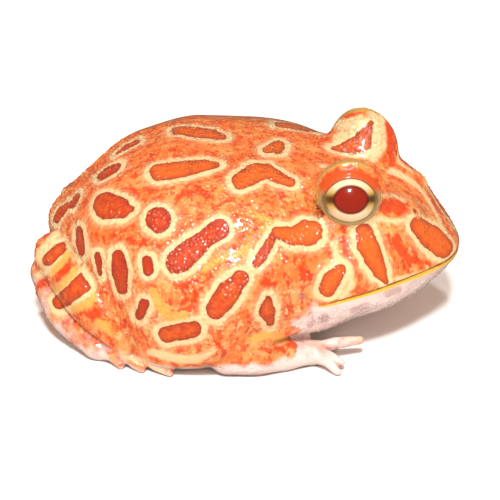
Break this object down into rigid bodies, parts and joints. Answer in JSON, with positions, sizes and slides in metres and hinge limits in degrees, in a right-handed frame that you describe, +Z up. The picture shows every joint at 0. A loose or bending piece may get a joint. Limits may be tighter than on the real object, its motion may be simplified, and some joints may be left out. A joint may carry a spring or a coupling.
{
  "type": "horned frog figure",
  "caption": "Still, life-size figure of a plump horned frog sitting on the floor, with raised eyelids, wide mouth, folded hind legs and spread hands.",
  "frame": {"origin": "centre of the bounding box in plan, on the floor", "axes": "+X from rump to snout, +Y to the frog's left, +Z up"},
  "size_m": [0.0646, 0.0536, 0.0302],
  "materials": {
    "skin_torso": "wet granular skin, orange with dark red-orange spots in cream borders",
    "skin_head": "wet granular skin, orange with dark red-orange spots in cream borders",
    "skin_jaw": "wet smooth skin, pinkish white with faint grey blotches",
    "skin_horn": "wet skin of the eyelids, cream and red-orange",
    "skin_arm": "wet skin, pale orange with dark orange patches",
    "skin_hand": "wet smooth skin, pale pinkish cream",
    "skin_leg": "wet granular skin, orange with cross bands",
    "skin_foot": "wet skin, cream and pale orange with cross bands",
    "eye": "polished, cream iris with a dark red oval pupil"
  },
  "bodies": {
    "root": {"torso": "skin_torso", "head": "skin_head", "lower_jaw": "skin_jaw", "right_eye": "eye", "left_eye": "eye", "right_horn": "skin_horn", "left_horn": "skin_horn", "right_upper_arm": "skin_arm", "left_upper_arm": "skin_arm", "right_forearm": "skin_arm", "left_forearm": "skin_arm", "right_hand": "skin_hand", "left_hand": "skin_hand", "right_thigh": "skin_leg", "left_thigh": "skin_leg", "right_shank": "skin_leg", "left_shank": "skin_leg", "right_foot": "skin_foot", "left_foot": "skin_foot"}
  },
  "joints": []
}
